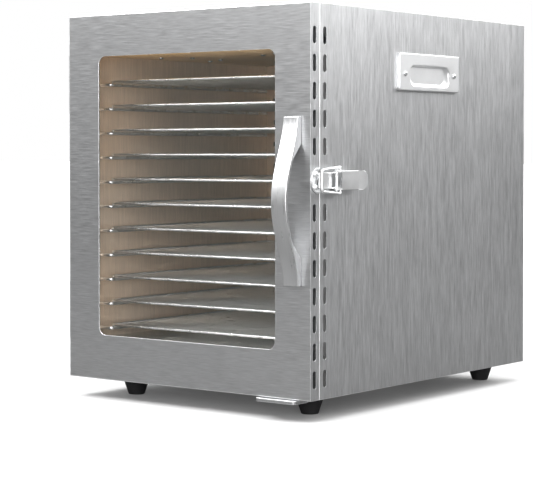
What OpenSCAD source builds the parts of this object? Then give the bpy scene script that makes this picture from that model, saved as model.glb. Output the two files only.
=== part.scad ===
// Cabinet food dehydrator with a glazed door and eleven wire-mesh trays.
// Millimetres. X runs to the right, Y from front to back and Z up.
// The origin is on the floor, at the middle of the whole object's footprint.

/* [Cabinet] */
// Outside width of the cabinet and the door
cabinet_w = 350; // [340:1:400]
// Height of the cabinet without its feet
cabinet_h = 420; // [410:1:480]
// Depth from the door's face to the back panel
overall_d = 450; // [440:1:520]
// Thickness of the cabinet's sheet steel
sheet_t = 1; // [0.8:0.1:1.4]
// Height of a rubber foot
foot_h = 24; // [18:1:40]
// Half the distance between the left and right feet
foot_x = 127.5; // [100:0.5:140]

/* [Chamber] */
// Half the width between the liner's side walls
chamber_half_w = 158; // [154:1:162]
// Height of the liner's floor above the cabinet's underside
chamber_floor = 44; // [30:1:48]
// Height of the liner's ceiling above the cabinet's underside
chamber_ceiling = 375; // [370:1:385]
// Distance from the door's face to the fan baffle
baffle_y = 355; // [352:1:362]

/* [Door] */
// Depth of the door
door_t = 16; // [15:0.5:20]
// Width of the window
window_w = 256; // [220:1:262]
// Height of the window
window_h = 321; // [280:1:326]
// Height of the window's lower edge above the door's lower edge
window_bottom = 51.5; // [48:0.5:60]
// Corner radius of the window
window_r = 9.5; // [4:0.5:20]
// Thickness of the door glass
glass_t = 4; // [3:0.5:5]

/* [Handle] */
// Width of the bow handle
handle_w = 20; // [14:1:24]
// Distance from the cabinet's middle to the handle's middle
handle_x = 153.4; // [150:0.2:158]
// Half the length of the handle
handle_half_l = 89.5; // [70:0.5:110]
// How far the bow stands out of the door at its middle
handle_out = 27.7; // [22:0.1:36]
// Thickness of the handle's ends
handle_end_t = 6; // [5:0.5:8]
// Thickness of the bow's strip
handle_strip_t = 3; // [2.5:0.5:4]

/* [Trays] */
// Distance from one tray to the next
tray_pitch = 28.6; // [24:0.1:28.8]
// Outside width of a tray
tray_w = 292; // [286:1:300]
// Outside depth of a tray
tray_d = 305; // [250:1:310]
// Diameter of a tray's rim rod
rim_d = 3; // [2:0.5:4]
// Diameter of a runner's wire
runner_d = 4; // [3:0.5:5]

/* [Vent slots] */
// Width of a vent slot
slot_w = 6; // [3:0.5:7]
// Length of a vent slot
slot_l = 18.7; // [14:0.1:22]
// Distance from one vent slot to the next
slot_pitch = 29.4; // [26:0.2:30]

/* [Latch] */
// Height of the latch above the cabinet's underside
latch_z = 232.5; // [225:0.5:240]
// Width of the latch's lever
lever_w = 20.4; // [18:0.2:24]
// Diameter of the bail's wire
bail_d = 2.8; // [2.4:0.1:3.2]

/* [Side pulls] */
// Length of a pull plate
pull_l = 125; // [110:1:140]
// Height of a pull plate
pull_h = 42; // [38:1:48]
// How far a pull plate stands out of the side panel
pull_t = 4; // [2:0.5:4]
// Depth of the finger cup behind the plate's face
pull_cup_d = 15; // [12:0.5:17]

/* [Fan] */
// Radius of the fan over its blade tips
fan_r = 78; // [60:1:82]
// Number of fan blades
blade_count = 5; // [3:1:7]
// Radius of the ring heater
heater_r = 92; // [90:1:110]

/* [Hidden] */
$fn = 48;

steel = [0.78, 0.79, 0.80];
bright = [0.93, 0.94, 0.95];
rubber = [0.09, 0.09, 0.09];
silicone = [0.55, 0.55, 0.55];

half_w = cabinet_w / 2;
inlet_flange_t = 2;
front_y = -(overall_d + inlet_flange_t - handle_out) / 2;

// Cabinet and chamber
body_y = door_t + 0.5;
frame_t = 1;
liner_y = body_y + frame_t;
flange_w = 14;
flange_t = 1.2;
liner_back_y = overall_d - sheet_t - flange_t - 0.3;
liner_t = 1;
foot_front_y = 63.5;
foot_back_y = 424.5;
foot_top_r = 17.4;
foot_bottom_r = 9.3;
foot_bore_l = 14;

// Door
skin_t = 1.2;
inner_y = door_t - 3.7;
inner_t = 1.2;
inner_lap = 13;
glass_y = skin_t + 1;
glass_lap = 10;
gasket_lap = 13;
gasket_back = glass_y + glass_t + 1;
window_mid_z = window_bottom + window_h / 2;
seal_w = 8;
seal_mid_x = chamber_half_w + 7;

// Handle: half the length of the gap behind the bow, at the door and where the strip begins
handle_z = 210.5;
gap_half = handle_half_l * 0.68;
strip_half = handle_half_l * 0.48;
bow_steps = 20;
handle_screw_inset = 12;

// Trays
tray_count = 11;
tray_y = 35;
top_runner_z = 341.3;
rim_above_runner = 3.8;
rim_bend_r = 8;
mesh_t = 0.8;
runner_x = 141.5;
runner_bend_r = 5;
runner_l = 300;

// Vent slots: one column on the door's edge, one on the cabinet beside it
door_slot_y = 7.3;
body_slot_y = 25.5;
upper_slot_z = 386;
lower_slot_z = 198.5;
upper_slots = 5;
lower_slots = 7;

// Hinges, on the left side of the seam between door and cabinet
hinge_x = -half_w - 4.5;
hinge_y = door_t;
hinge_zs = [78, 342];
hinge_h = 66;
knuckle_h = hinge_h / 3;
knuckle_r = 4;
hinge_pin_r = 2;
running_gap = 0.06;
leaf_t = 2;
leaf_gap = 5.5;
leaf_w = 14;
door_leaf_w = 9;
knuckle_gap = 0.25;
hinge_screw_dz = 21;
pin_head_r = hinge_pin_r + 1;
pin_head_h = 1.5;

// Latch
pivot_x = half_w + 5.2;
pivot_y = 40.5;
pivot_r = 1.5;
bail_pivot_y = pivot_y + 6.5;
latch_base_t = 1.2;
lever_top_x = half_w + 8.8;
lever_t = 1.2;
lever_wall_r = 3.4;
lever_tip_y = 77.7;
lever_top_y = pivot_y + 4;
latch_base_y = 19;
latch_base_l = 53;
ear_r = 3.4;
keeper_half = 13.6;
tip_l = 12.8;
tip_tilt = 14;
bail_bar_x = half_w + 8.4;
bail_bar_y = 9.6;
bail_rear_half = 14.2;
bail_front_half = 11.4;
bail_end_half = 8.6;
keeper_t = 1.2;
hook_half = 8;
hook_r = 2.6;
keeper_screw_dz = 7;
keeper_screw_y = 8;

// Side pulls
pull_y = 226.2;
pull_z = 353;
cup_l = 82;
cup_h = 22;
cup_drop = 4;
cup_chamfer = 6.5;
cup_wall = 1;
pull_screw_dx = 51.7;
pull_screw_dz = -2.3;

// Door rest under the free corner
rest_x = 131.5;
rest_w = 53;
rest_out = 6;
rest_back_y = 44;
rest_drop = 0.5;
rest_t = 4;
rest_corner_r = 4;
rest_tongue_y = 20;

// Vent holes: ring patterns as first radius, rings, step and hole radius
hole_pitch_ratio = 3.2;
back_holes = [24, 4, 12, 3.2];
baffle_holes = [14, 5, 14, 4];
baffle_slot_x = 132;
baffle_slot_l = 30;
baffle_slot_w = 6;
base_slot_xs = [-75:25:75];
base_slot_y = 250;
base_slot_l = 100;
base_slot_w = 8;

// Fan chamber
fan_z = (chamber_floor + chamber_ceiling) / 2;
rotor_y = 364;
rotor_l = 20;
hub_r = 15;
shaft_r = 3;
motor_y = 392;
motor_l = 32;
motor_r = 34;
bracket_t = 3;
heater_y = 374;
heater_wire_r = 4;
heater_gap_angle = 50;
bracket_r = 62;
bracket_bore_r = 10;
pillar_out = 42;
pillar_r = 4;
blade_t = 1.5;
blade_w = 26;
blade_pitch = 35;
probe_x = 104;
probe_y = 347;
probe_r = 2.5;
cutout_y = 404;
cutout_z = 300;
cutout_r = 8;

// Controls, on and under the top panel
control_x = -35;
control_y = 147;
panel_l = 150;
panel_w = 62;
panel_t = 1.6;
board_l = 124;
board_w = 69;
board_z = chamber_ceiling + 29;
board_t = 1.6;
tray_half_l = 94;
tray_half_w = 54;
button_r = 6;
button_gap = 0.2;
button_travel = 0.8;
button_xs = [7, 25, 43, 61];
button_flange_t = 1.2;
display_l = 48;
display_w = 22;
display_x = -42;
button_low_z = cabinet_h - 2.4;
button_switch_h = button_low_z - button_travel - 0.1 - board_z - board_t;
board_post_x = 53.5;
board_post_y = 26.5;
tray_screw_x = 86;
tray_screw_y = 46;

// Mains inlet
inlet_x = 115;
inlet_z = 78;
inlet_l = 27.5;
inlet_h = 19.5;
inlet_d = 20;
inlet_flange_l = 48;
inlet_flange_h = 23;

// Screws: head radius, head height, shank radius
screw_head_r = 3;
screw_head_h = 2;
screw_r = 1.5;
back_screw_xs = [-167, 167];
back_screw_zs = [30, 120, 210, 300, 390];
ceiling_screws = [
    for (sx = [-1, 1]) for (sy = [-1, 1])
        [control_x + sx * tray_screw_x, control_y + sy * tray_screw_y],
    for (sx = [-1, 1]) for (sy = [-1, 1])
        [control_x + sx * board_post_x, control_y + sy * board_post_y]
];
rest_screw_xs = [rest_x - 12, rest_x + 12];
rest_screw_y = 36;

// ---------- Helpers ----------

// Moves a piece drawn from the door's face and the cabinet's underside into the part's frame
module place() {
    translate([0, front_y, foot_h]) children();
}

// Extrudes a drawing in X and Z over the depths from y to y + t
module xz(y, t) {
    translate([0, y + t, 0]) rotate([90, 0, 0]) linear_extrude(t) children();
}

// Extrudes a drawing in Y and Z over the widths from x to x + t
module yz(x, t) {
    translate([x, 0, 0]) rotate([90, 0, 90]) linear_extrude(t) children();
}

// A rod of radius r along X, Y or Z that starts at p
module rod_x(p, r, l) {
    translate(p) rotate([0, 90, 0]) cylinder(r = r, h = l);
}

module rod_y(p, r, l) {
    translate(p) rotate([-90, 0, 0]) cylinder(r = r, h = l);
}

module rod_z(p, r, l) {
    translate(p) cylinder(r = r, h = l);
}

// Rectangle centred on the origin with round corners
module rounded(w, h, r) {
    square([w - 2 * r, h], center = true);
    square([w, h - 2 * r], center = true);
    for (sx = [-1, 1]) for (sz = [-1, 1])
        translate([sx * (w / 2 - r), sz * (h / 2 - r)]) circle(r);
}

// Upright slot with round ends, centred on the origin
module slot() {
    square([slot_w, slot_l - slot_w], center = true);
    for (s = [-1, 1]) translate([0, s * (slot_l - slot_w) / 2]) circle(slot_w / 2);
}

function slot_heights() = concat(
    [for (i = [0:upper_slots - 1]) upper_slot_z - i * slot_pitch],
    [for (i = [0:lower_slots - 1]) lower_slot_z - i * slot_pitch]
);

function clear_of_hinges(z) =
    min([for (h = hinge_zs) abs(z - h)]) > (hinge_h + slot_l) / 2;

// Column of vent slots at depth y; the hinge side leaves out those behind the hinges
module slot_column(y, hinge_side) {
    for (z = slot_heights())
        if (!hinge_side || clear_of_hinges(z)) translate([y, z]) slot();
}

// Rings of round holes about the origin, from a pattern of first radius, rings, step and hole radius
module hole_rings(pattern) {
    hole_r = pattern[3];
    for (i = [0:pattern[1] - 1]) {
        ring_r = pattern[0] + i * pattern[2];
        count = floor(2 * PI * ring_r / (hole_pitch_ratio * hole_r));
        for (n = [0:count - 1]) rotate(n * 360 / count) translate([ring_r, 0]) circle(hole_r);
    }
}

// Outline of the window, grown by a lap on every side
module window_outline(lap) {
    translate([0, window_mid_z]) rounded(window_w + 2 * lap, window_h + 2 * lap, window_r + lap / 2);
}

// Quarter bend of a rod, its centre line from angle a to a + 90 about the origin
module bend(bend_r, rod_r, a) {
    rotate([0, 0, a]) rotate_extrude(angle = 90) translate([bend_r, 0]) circle(rod_r);
}

// Closed rectangular frame of bent rod, centred, measured on its centre line
module rod_frame(w, d, r, bend_r) {
    for (s = [-1, 1]) {
        rod_x([-w / 2 + bend_r, s * d / 2, 0], r, w - 2 * bend_r);
        rod_y([s * w / 2, -d / 2 + bend_r, 0], r, d - 2 * bend_r);
    }
    for (i = [0:3]) {
        sx = (i == 0 || i == 3) ? 1 : -1;
        sy = (i < 2) ? 1 : -1;
        translate([sx * (w / 2 - bend_r), sy * (d / 2 - bend_r), 0]) bend(bend_r, r, 90 * i);
    }
}

// Screw with its head on the plane z = 0 and its shank below
module screw(shank_l) {
    cylinder(r = screw_head_r, h = screw_head_h);
    translate([0, 0, -shank_l]) cylinder(r = screw_r, h = shank_l);
}

// ---------- Cabinet ----------

module side_panel(side) {
    difference() {
        yz(side > 0 ? half_w - sheet_t : -half_w, sheet_t) difference() {
            translate([body_y, 0]) square([overall_d - body_y, cabinet_h]);
            slot_column(body_slot_y, side < 0);
            translate([pull_y, pull_z - cup_drop]) cup_outline(cup_wall);
        }
        for (s = [-1, 1])
            rod_x([side * half_w - 2, pull_y + s * pull_screw_dx, pull_z + pull_screw_dz], screw_r, 4);
        if (side < 0) hinge_screw_holes(1);
    }
    flange_x = half_w - sheet_t - flange_w;
    difference() {
        translate([side > 0 ? flange_x : -half_w + sheet_t, overall_d - sheet_t - flange_t, sheet_t])
            cube([flange_w, flange_t, cabinet_h - 2 * sheet_t]);
        back_screw_holes();
    }
}

module back_screw_holes() {
    for (x = back_screw_xs) for (z = back_screw_zs) rod_y([x, overall_d - 5, z], screw_r, 8);
}

module side_panel_left() {
    color(steel) place() side_panel(-1);
}

module side_panel_right() {
    color(steel) place() side_panel(1);
}

module top_panel() {
    color(steel) place() difference() {
        translate([-half_w + sheet_t, body_y, cabinet_h - sheet_t])
            cube([cabinet_w - 2 * sheet_t, overall_d - body_y, sheet_t]);
        translate([control_x, control_y, cabinet_h - 3])
            linear_extrude(6) square([panel_l - 10, panel_w - 14], center = true);
    }
}

module foot_places() {
    for (sx = [-1, 1]) for (y = [foot_front_y, foot_back_y]) translate([sx * foot_x, y, 0]) children();
}

module base_panel() {
    color(steel) place() difference() {
        translate([-half_w + sheet_t, body_y, 0])
            cube([cabinet_w - 2 * sheet_t, overall_d - body_y, sheet_t]);
        foot_places() translate([0, 0, -1]) cylinder(r = screw_r, h = 4);
        for (x = rest_screw_xs) rod_z([x, rest_screw_y, -1], screw_r, 4);
        for (x = base_slot_xs) translate([x, base_slot_y, -1]) linear_extrude(4) {
            square([base_slot_w, base_slot_l - base_slot_w], center = true);
            for (s = [-1, 1]) translate([0, s * (base_slot_l - base_slot_w) / 2]) circle(base_slot_w / 2);
        }
    }
}

module back_panel() {
    color(steel) place() difference() {
        xz(overall_d - sheet_t, sheet_t) difference() {
            translate([-half_w + sheet_t, sheet_t])
                square([cabinet_w - 2 * sheet_t, cabinet_h - 2 * sheet_t]);
            translate([0, fan_z]) hole_rings(back_holes);
            translate([inlet_x, inlet_z]) square([inlet_l, inlet_h], center = true);
        }
        back_screw_holes();
    }
}

module front_frame() {
    color(steel) place() xz(body_y, frame_t) difference() {
        translate([-half_w + sheet_t, sheet_t])
            square([cabinet_w - 2 * sheet_t, cabinet_h - 2 * sheet_t]);
        translate([-chamber_half_w, chamber_floor])
            square([2 * chamber_half_w, chamber_ceiling - chamber_floor]);
    }
}

// ---------- Liner ----------

module liner_wall(side) {
    translate([side > 0 ? chamber_half_w : -chamber_half_w - liner_t, liner_y, chamber_floor - liner_t])
        cube([liner_t, liner_back_y - liner_y, chamber_ceiling - chamber_floor + 2 * liner_t]);
}

module liner_left() {
    color(steel) place() liner_wall(-1);
}

module liner_right() {
    color(steel) place() liner_wall(1);
}

module liner_ceiling() {
    color(steel) place() difference() {
        translate([-chamber_half_w, liner_y, chamber_ceiling])
            cube([2 * chamber_half_w, liner_back_y - liner_y, liner_t]);
        for (p = ceiling_screws) rod_z([p[0], p[1], chamber_ceiling - 1], screw_r, 4);
        rod_z([probe_x, probe_y, chamber_ceiling - 1], probe_r, 4);
    }
}

module liner_floor() {
    color(steel) place()
        translate([-chamber_half_w, liner_y, chamber_floor - liner_t])
            cube([2 * chamber_half_w, liner_back_y - liner_y, liner_t]);
}

// Perforated wall between the trays and the fan
module fan_baffle() {
    color(steel) place() xz(baffle_y, liner_t) difference() {
        translate([-chamber_half_w, chamber_floor])
            square([2 * chamber_half_w, chamber_ceiling - chamber_floor]);
        translate([0, fan_z]) hole_rings(baffle_holes);
        for (sx = [-1, 1]) for (i = [0:tray_count])
            translate([sx * baffle_slot_x, top_runner_z + tray_pitch * (0.6 - i)])
                square([baffle_slot_l, baffle_slot_w], center = true);
    }
}

function runner_z(i) = top_runner_z - i * tray_pitch;

// One runner: a wire welded to the liner by its two bent ends
module runner(side, z) {
    r = runner_d / 2;
    leg_l = chamber_half_w - runner_x - runner_bend_r;
    translate([0, tray_y, z]) mirror([side < 0 ? 1 : 0, 0, 0]) {
        rod_x([runner_x + runner_bend_r, 0, 0], r, leg_l);
        translate([runner_x + runner_bend_r, runner_bend_r, 0]) bend(runner_bend_r, r, 180);
        rod_y([runner_x, runner_bend_r, 0], r, runner_l - 2 * runner_bend_r);
        translate([runner_x + runner_bend_r, runner_l - runner_bend_r, 0]) bend(runner_bend_r, r, 90);
        rod_x([runner_x + runner_bend_r, runner_l, 0], r, leg_l);
    }
}

module runners(side) {
    for (i = [0:tray_count - 1]) runner(side, runner_z(i));
}

module runners_left() {
    color(bright) place() runners(-1);
}

module runners_right() {
    color(bright) place() runners(1);
}

// ---------- Trays ----------

// One tray: a bent rim rod with a sheet of woven wire along its underside
module tray(i) {
    color(bright) place() translate([0, tray_y + tray_d / 2, runner_z(i) + rim_above_runner]) {
        rod_frame(tray_w - rim_d, tray_d - rim_d, rim_d / 2, rim_bend_r);
        translate([0, 0, -rim_d / 2]) linear_extrude(mesh_t)
            rounded(tray_w - rim_d, tray_d - rim_d, rim_bend_r);
    }
}

module tray_01() {
    tray(0);
}

module tray_02() {
    tray(1);
}

module tray_03() {
    tray(2);
}

module tray_04() {
    tray(3);
}

module tray_05() {
    tray(4);
}

module tray_06() {
    tray(5);
}

module tray_07() {
    tray(6);
}

module tray_08() {
    tray(7);
}

module tray_09() {
    tray(8);
}

module tray_10() {
    tray(9);
}

module tray_11() {
    tray(10);
}

// ---------- Feet, side pulls, door rest ----------

module feet() {
    color(rubber) place() foot_places() difference() {
        translate([0, 0, -foot_h]) cylinder(r1 = foot_bottom_r, r2 = foot_top_r, h = foot_h);
        translate([0, 0, -foot_bore_l]) cylinder(r = screw_r, h = foot_bore_l + 1);
    }
}

// Outline of the finger cup with cut corners, centred, grown by a margin
module cup_outline(margin) {
    l = cup_l / 2 + margin;
    h = cup_h / 2 + margin;
    c = cup_chamfer;
    polygon([
        [-l, h - c], [-l + c, h], [l - c, h], [l, h - c],
        [l, -h + c], [l - c, -h], [-l + c, -h], [-l, -h + c]
    ]);
}

module pull_plate(side) {
    mirror([side < 0 ? 1 : 0, 0, 0]) difference() {
        union() {
            yz(half_w, pull_t) translate([pull_y, pull_z]) square([pull_l, pull_h], center = true);
            yz(half_w + pull_t - pull_cup_d, pull_cup_d)
                translate([pull_y, pull_z - cup_drop]) cup_outline(cup_wall);
        }
        yz(half_w + pull_t - pull_cup_d + cup_wall, pull_cup_d)
            translate([pull_y, pull_z - cup_drop]) cup_outline(0);
        for (s = [-1, 1])
            rod_x([half_w - 2, pull_y + s * pull_screw_dx, pull_z + pull_screw_dz], screw_r, pull_t + 4);
    }
}

module pull_plate_left() {
    color(bright) place() pull_plate(-1);
}

module pull_plate_right() {
    color(bright) place() pull_plate(1);
}

// Stepped plate under the cabinet that carries the door's free corner
module door_rest() {
    color(bright) place() difference() {
        union() {
            translate([rest_x, 0, -rest_drop - rest_t]) linear_extrude(rest_t) {
                translate([0, (rest_tongue_y - rest_out) / 2])
                    rounded(rest_w, rest_tongue_y + rest_out, rest_corner_r);
            }
            translate([rest_x - rest_w / 2, body_y + 1.5, -rest_t])
                cube([rest_w, rest_back_y - body_y - 1.5, rest_t]);
        }
        for (x = rest_screw_xs) rod_z([x, rest_screw_y, -5], screw_r, 6);
    }
}

// ---------- Hinges ----------

// One hinge leaf: the plate and its own knuckles, from height z, with side +1 on the cabinet
module hinge_leaf(z, side) {
    owned = side > 0 ? [0, 2] : [1];
    bore_r = side > 0 ? hinge_pin_r : hinge_pin_r + running_gap;
    difference() {
        union() {
            plate_w = side > 0 ? leaf_w : door_leaf_w;
            plate_y = side > 0 ? hinge_y + leaf_gap : hinge_y - leaf_gap - plate_w;
            translate([-half_w - leaf_t, plate_y, z - hinge_h / 2]) cube([leaf_t, plate_w, hinge_h]);
            for (n = owned) {
                kz = z - hinge_h / 2 + n * knuckle_h;
                low = n == 0 ? 0 : knuckle_gap;
                high = n == 2 ? 0 : knuckle_gap;
                rod_z([hinge_x, hinge_y, kz + low], knuckle_r, knuckle_h - low - high);
                translate([-half_w - leaf_t, side > 0 ? hinge_y : hinge_y - leaf_gap, kz + low])
                    cube([leaf_t, leaf_gap, knuckle_h - low - high]);
            }
        }
        rod_z([hinge_x, hinge_y, z - hinge_h / 2 - 1], bore_r, hinge_h + 2);
        hinge_screw_holes(side);
    }
}

function hinge_screw_y(side) =
    side > 0 ? hinge_y + leaf_gap + leaf_w / 2 + 1 : hinge_y - leaf_gap - door_leaf_w / 2;

module hinge_screw_places(side) {
    for (z = hinge_zs) for (s = [-1, 1])
        translate([-half_w, hinge_screw_y(side), z + s * hinge_screw_dz]) rotate([0, -90, 0]) children();
}

module hinge_screw_holes(side) {
    hinge_screw_places(side) translate([0, 0, -4]) cylinder(r = screw_r, h = 8);
}

module hinge_leaves_cabinet() {
    color(steel) place() for (z = hinge_zs) hinge_leaf(z, 1);
}

module hinge_leaves_door() {
    color(steel) place() for (z = hinge_zs) hinge_leaf(z, -1);
}

module hinge_pins() {
    color(bright) place() for (z = hinge_zs) {
        rod_z([hinge_x, hinge_y, z - hinge_h / 2], hinge_pin_r, hinge_h);
        for (head_z = [-hinge_h / 2 - pin_head_h, hinge_h / 2])
            rod_z([hinge_x, hinge_y, z + head_z], pin_head_r, pin_head_h);
    }
}

// ---------- Door ----------

module door_skin() {
    color(steel) place() difference() {
        union() {
            xz(0, skin_t) difference() {
                translate([-half_w, 0]) square([cabinet_w, cabinet_h]);
                window_outline(0);
            }
            for (side = [-1, 1])
                yz(side > 0 ? half_w - skin_t : -half_w, skin_t) difference() {
                    square([door_t, cabinet_h]);
                    slot_column(door_slot_y, side < 0);
                }
            for (z = [0, cabinet_h - skin_t]) translate([-half_w, 0, z]) cube([cabinet_w, door_t, skin_t]);
        }
        hinge_screw_holes(-1);
        keeper_screw_places() translate([0, 0, -4]) cylinder(r = screw_r, h = 8);
        handle_screw_places() translate([0, 0, -1]) cylinder(r = screw_r, h = 4);
    }
}

// Inner sheet of the door; its opening is folded forward to clamp the gasket
module door_inner_panel() {
    color(steel) place() {
        xz(inner_y, inner_t) difference() {
            translate([-half_w + skin_t, skin_t])
                square([cabinet_w - 2 * skin_t, cabinet_h - 2 * skin_t]);
            window_outline(inner_lap);
        }
        xz(gasket_back, inner_y + inner_t - gasket_back) difference() {
            window_outline(inner_lap + inner_t);
            window_outline(inner_lap);
        }
    }
}

module door_glass() {
    color([0.75, 0.85, 0.85, 0.3]) place() xz(glass_y, glass_t) window_outline(glass_lap);
}

// Channel gasket round the glass
module glass_gasket() {
    color(rubber) place() difference() {
        xz(skin_t, gasket_back - skin_t) difference() {
            window_outline(gasket_lap);
            window_outline(glass_lap - 5);
        }
        xz(glass_y, glass_t) window_outline(glass_lap);
    }
}

module door_seal() {
    seal_h = chamber_ceiling - chamber_floor + 2 * (seal_mid_x - chamber_half_w);
    seal_z = (chamber_ceiling + chamber_floor) / 2;
    color(silicone) place() xz(inner_y + inner_t, body_y - inner_y - inner_t - 0.3)
        translate([0, seal_z]) difference() {
            rounded(2 * seal_mid_x + seal_w, seal_h + seal_w, 10);
            rounded(2 * seal_mid_x - seal_w, seal_h - seal_w, 4);
        }
}

// How far the bow stands out of the door at a height dz from the handle's middle
function bow(dz) = handle_end_t
    + (handle_out - handle_end_t) * pow((1 + cos(180 * dz / handle_half_l)) / 2, 0.9);

module door_handle() {
    outer = [for (i = [-bow_steps:bow_steps]) let (dz = i * handle_half_l / bow_steps) [-bow(dz), dz]];
    inner = [for (i = [bow_steps:-1:-bow_steps]) let (dz = i * strip_half / bow_steps)
        [-bow(dz) + handle_strip_t, dz]];
    outline = concat(
        outer, [[0, handle_half_l], [0, gap_half]], inner, [[0, -gap_half], [0, -handle_half_l]]
    );
    color(bright) place() difference() {
        yz(handle_x - handle_w / 2, handle_w) translate([0, handle_z]) polygon(outline);
        handle_screw_places() translate([0, 0, -5]) cylinder(r = screw_r, h = 6);
    }
}

module handle_screw_places() {
    for (s = [-1, 1])
        translate([handle_x, 0, handle_z + s * (handle_half_l - handle_screw_inset)])
            rotate([-90, 0, 0]) children();
}

// ---------- Latch ----------

module keeper_screw_places() {
    for (s = [-1, 1])
        translate([half_w, keeper_screw_y, latch_z + s * keeper_screw_dz]) rotate([0, 90, 0]) children();
}

// Strike plate on the door's edge with a hook that curls back over it
module keeper() {
    hook_y = door_t - 0.4 - hook_r;
    color(bright) place() difference() {
        union() {
            yz(half_w, keeper_t) translate([0, latch_z]) intersection() {
                translate([1, -keeper_half]) square([door_t - 1.4, 2 * keeper_half]);
                translate([keeper_half + 1, 0]) circle(keeper_half + 0.6);
            }
            translate([half_w + keeper_t, hook_y, latch_z - hook_half]) linear_extrude(2 * hook_half)
                hook_section();
        }
        keeper_screw_places() translate([0, 0, -1]) cylinder(r = screw_r, h = 4);
    }
}

// Section of the hook: half a ring that stands on the plate and a lip towards the front
module hook_section() {
    translate([hook_r - keeper_t, 0]) {
        difference() {
            circle(hook_r);
            circle(hook_r - keeper_t);
            translate([-2 * hook_r, -2 * hook_r]) square([4 * hook_r, 2 * hook_r]);
        }
        translate([hook_r - keeper_t, -4]) square([keeper_t, 4.01]);
        translate([-hook_r, -1]) square([keeper_t, 1.01]);
    }
}

module latch_base() {
    ear_half = lever_w / 2 - lever_t - 0.3;
    color(steel) place() difference() {
        union() {
            yz(half_w, latch_base_t)
                translate([latch_base_y, latch_z - ear_half]) square([latch_base_l, 2 * ear_half]);
            for (s = [-1, 1])
                translate([0, 0, latch_z + s * (ear_half - latch_base_t / 2) - latch_base_t / 2])
                    linear_extrude(latch_base_t) {
                        translate([half_w, pivot_y - ear_r]) square([pivot_x - half_w, 2 * ear_r]);
                        translate([pivot_x, pivot_y]) circle(ear_r);
                    }
        }
        rod_z([pivot_x, pivot_y, latch_z - 20], pivot_r, 40);
    }
}

module latch_pin() {
    color(bright) place() {
        rod_z([pivot_x, pivot_y, latch_z - lever_w / 2 - 0.1], pivot_r, lever_w + 0.2);
        for (s = [-1, 1])
            rod_z([pivot_x, pivot_y, latch_z + s * (lever_w / 2 + 0.6) - 0.5], pivot_r + 0.8, 1);
    }
}

// Channel lever with a tilted finger tip
module latch_lever() {
    color(steel) place() difference() {
        union() {
            translate([lever_top_x - lever_t, lever_top_y, latch_z - lever_w / 2])
                cube([lever_t, lever_tip_y - lever_top_y, lever_w]);
            translate([lever_top_x - lever_t, lever_tip_y, latch_z]) rotate([0, 0, -tip_tilt]) {
                yz(0, lever_t) hull() {
                    translate([0, -lever_w / 2]) square([0.5, lever_w]);
                    translate([tip_l - lever_w / 2 + 3.5, 0]) scale([0.66, 1]) circle(lever_w / 2);
                }
            }
            for (s = [-1, 1])
                translate([0, 0, latch_z + s * (lever_w / 2 - lever_t / 2) - lever_t / 2])
                    linear_extrude(lever_t) {
                        translate([pivot_x, pivot_y]) circle(lever_wall_r);
                        translate([pivot_x - 1.2, pivot_y])
                            square([lever_top_x - pivot_x + 1, lever_tip_y - pivot_y - 2]);
                        translate([pivot_x, pivot_y - 3]) square([lever_top_x - pivot_x - 0.1, 6]);
                    }
        }
        rod_z([pivot_x, pivot_y, latch_z - 20], pivot_r + running_gap, 40);
        rod_z([pivot_x, bail_pivot_y, latch_z - 20], bail_d / 2 + running_gap, 40);
    }
}

// Wire loop from the lever round the keeper's hook
module latch_bail() {
    r = bail_d / 2;
    corner_r = r + 0.1;
    color(bright) place() translate([0, 0, latch_z]) {
        rod_z([bail_bar_x, bail_bar_y, -bail_front_half], r, 2 * bail_front_half);
        for (s = [-1, 1]) mirror([0, 0, s < 0 ? 1 : 0]) {
            front = [bail_bar_x, bail_bar_y, bail_front_half];
            rear = [pivot_x, bail_pivot_y, bail_rear_half];
            wire(front, rear, r);
            translate(front) sphere(corner_r);
            translate(rear) sphere(corner_r);
            rod_z([pivot_x, bail_pivot_y, bail_end_half], r, bail_rear_half - bail_end_half);
        }
    }
}

// Straight wire of radius r from p to q
module wire(p, q, r) {
    d = q - p;
    l = norm(d);
    translate(p) rotate([0, acos(d[2] / l), atan2(d[1], d[0])]) cylinder(r = r, h = l);
}

// ---------- Fan chamber ----------

// Ring heater with two straight legs to the back panel
module heating_element() {
    start = 270 + heater_gap_angle / 2;
    color([0.45, 0.42, 0.4]) place() translate([0, heater_y, fan_z]) rotate([90, 0, 0]) {
        rotate([0, 0, start]) rotate_extrude(angle = 360 - heater_gap_angle)
            translate([heater_r, 0]) circle(heater_wire_r);
        for (s = [-1, 1]) rotate([0, 0, 270 + s * heater_gap_angle / 2]) translate([heater_r, 0, 0]) {
            sphere(heater_wire_r);
            rotate([180, 0, 0]) cylinder(r = heater_wire_r, h = overall_d - sheet_t - heater_y);
        }
    }
}

module thermal_cutout() {
    color([0.85, 0.85, 0.8]) place() {
        rod_x([-chamber_half_w, cutout_y, cutout_z], cutout_r, 6);
        rod_x([-chamber_half_w + 6, cutout_y, cutout_z], cutout_r - 2.5, 3);
    }
}

module temperature_probe() {
    color(bright) place() {
        rod_z([probe_x, probe_y, chamber_ceiling - 20], probe_r, 28);
        rod_z([probe_x, probe_y, chamber_ceiling + liner_t], probe_r + 2.5, 3);
    }
}

module motor_bracket() {
    color(steel) place() {
        xz(motor_y + motor_l, bracket_t) translate([0, fan_z]) difference() {
            circle(bracket_r);
            circle(bracket_bore_r);
        }
        pillar_y = motor_y + motor_l + bracket_t;
        for (sx = [-1, 1]) for (sz = [-1, 1])
            rod_y([sx * pillar_out, pillar_y, fan_z + sz * pillar_out], pillar_r,
                overall_d - sheet_t - pillar_y);
    }
}

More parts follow.
